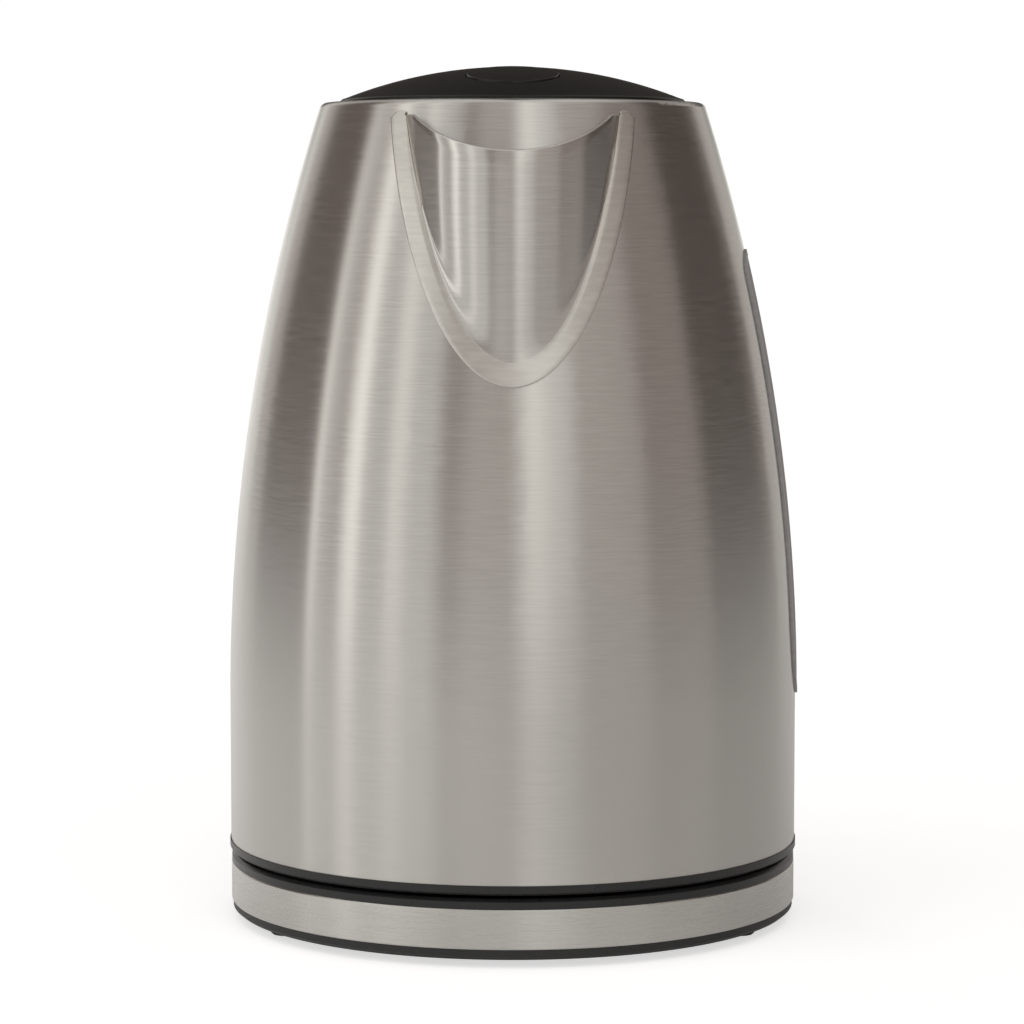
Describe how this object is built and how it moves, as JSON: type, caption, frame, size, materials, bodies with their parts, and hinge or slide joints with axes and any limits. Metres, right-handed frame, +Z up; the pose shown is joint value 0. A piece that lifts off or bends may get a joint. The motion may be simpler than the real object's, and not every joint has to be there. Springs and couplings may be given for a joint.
{
  "type": "electric kettle",
  "caption": "Cordless electric kettle: tapered brushed steel jug with scoop spout, side water gauge, hinged push-button lid and rear handle on a round power base.",
  "frame": {"origin": "on the table, under the centre of the power base", "axes": "+Z up, -Y towards the spout, +Y towards the handle, +X towards the water gauge"},
  "size_m": [0.1565, 0.2021, 0.2324],
  "materials": {
    "brushed_steel": "fine brushed grain round the body, satin",
    "brushed_band": "fine brushed grain round the base, satin",
    "inner_steel": "plain bright steel",
    "zinc_steel": "zinc-plated",
    "spring_steel": "drawn wire",
    "gloss_black": "semi-gloss moulding",
    "lid_black": "semi-gloss moulding",
    "satin_black": "satin moulding",
    "connector_plastic": "satin moulding",
    "pale_plastic": "plain moulding",
    "filter_mesh": "fine woven mesh",
    "gauge_clear": "clear grey plastic",
    "lamp_red": "translucent lens",
    "silicone": "translucent silicone",
    "rubber": "soft rubber",
    "grip_rubber": "fine textured soft grip",
    "cast_alloy": "as cast",
    "contact_brass": "bright",
    "contact_copper": "bright copper",
    "bimetal": "dull strip metal"
  },
  "bodies": {
    "power_base": {"base_bottom": "satin_black", "base_feet": "rubber", "base_band": "brushed_band", "base_tray": "gloss_black", "base_screws": "zinc_steel", "base_connector": "connector_plastic", "base_contacts": "contact_copper", "terminal_block": "pale_plastic", "cord_clamp": "pale_plastic", "cord_gland": "rubber"},
    "swivel": {"swivel_ring": "pale_plastic"},
    "jug": {"body_shell": "brushed_steel", "spout": "brushed_steel", "lid_collar": "satin_black", "heater_plate": "inner_steel", "plate_seal": "silicone", "heat_spreader": "cast_alloy", "heating_element": "cast_alloy", "element_terminals": "contact_brass", "control_housing": "connector_plastic", "jug_contacts": "contact_brass", "dry_boil_discs": "bimetal", "jug_skirt": "gloss_black", "skirt_screws": "zinc_steel", "gauge_frame": "gloss_black", "gauge_lens": "gauge_clear", "gauge_seal": "silicone", "handle_shell": "gloss_black", "handle_grip": "grip_rubber", "handle_brackets": "inner_steel", "handle_screws": "zinc_steel", "steam_tube": "pale_plastic", "steam_switch": "pale_plastic", "steam_bimetal": "bimetal", "switch_pin": "zinc_steel", "indicator_lens": "lamp_red", "hinge_pin": "zinc_steel"},
    "lid": {"lid_dome": "lid_black", "lid_inner_plate": "inner_steel", "lid_seal": "silicone", "lid_spring": "spring_steel", "button_spring": "spring_steel"},
    "button": {"lid_button": "lid_black"},
    "latch": {"latch_bolt": "satin_black"},
    "switch": {"switch_lever": "gloss_black"},
    "filter": {"filter_frame": "satin_black", "filter_mesh": "filter_mesh"}
  },
  "joints": [
    {"name": "jug_swivel", "type": "hinge", "parent": "power_base", "child": "swivel", "pos_m": [0, 0, 0.0187], "axis": [0, 0, 1], "continuous": true},
    {"name": "jug_lift", "type": "slide", "parent": "swivel", "child": "jug", "axis": [0, 0, 1], "range_m": [0, 0.08]},
    {"name": "lid_hinge", "type": "hinge", "parent": "jug", "child": "lid", "pos_m": [0, 0.0525, 0.2265], "axis": [-1, 0, 0], "range_deg": [0, 80]},
    {"name": "button_press", "type": "slide", "parent": "lid", "child": "button", "axis": [0, 0, -1], "range_m": [0, 0.0025], "stiffness_N_per_m": 400, "springref_m": -0.0015, "deforming": ["button_spring"]},
    {"name": "latch_slide", "type": "slide", "parent": "lid", "child": "latch", "axis": [0, 1, 0], "range_m": [0, 0.0025]},
    {"name": "switch_rock", "type": "hinge", "parent": "jug", "child": "switch", "pos_m": [0, 0.104, 0.079], "axis": [1, 0, 0], "range_deg": [0, 12]},
    {"name": "filter_pull", "type": "slide", "parent": "jug", "child": "filter", "axis": [0, 1, 0], "range_m": [0, 0.012]}
  ],
  "couplings": [
    {"joint": "latch_slide", "follows": "button_press", "ratio": 1}
  ]
}
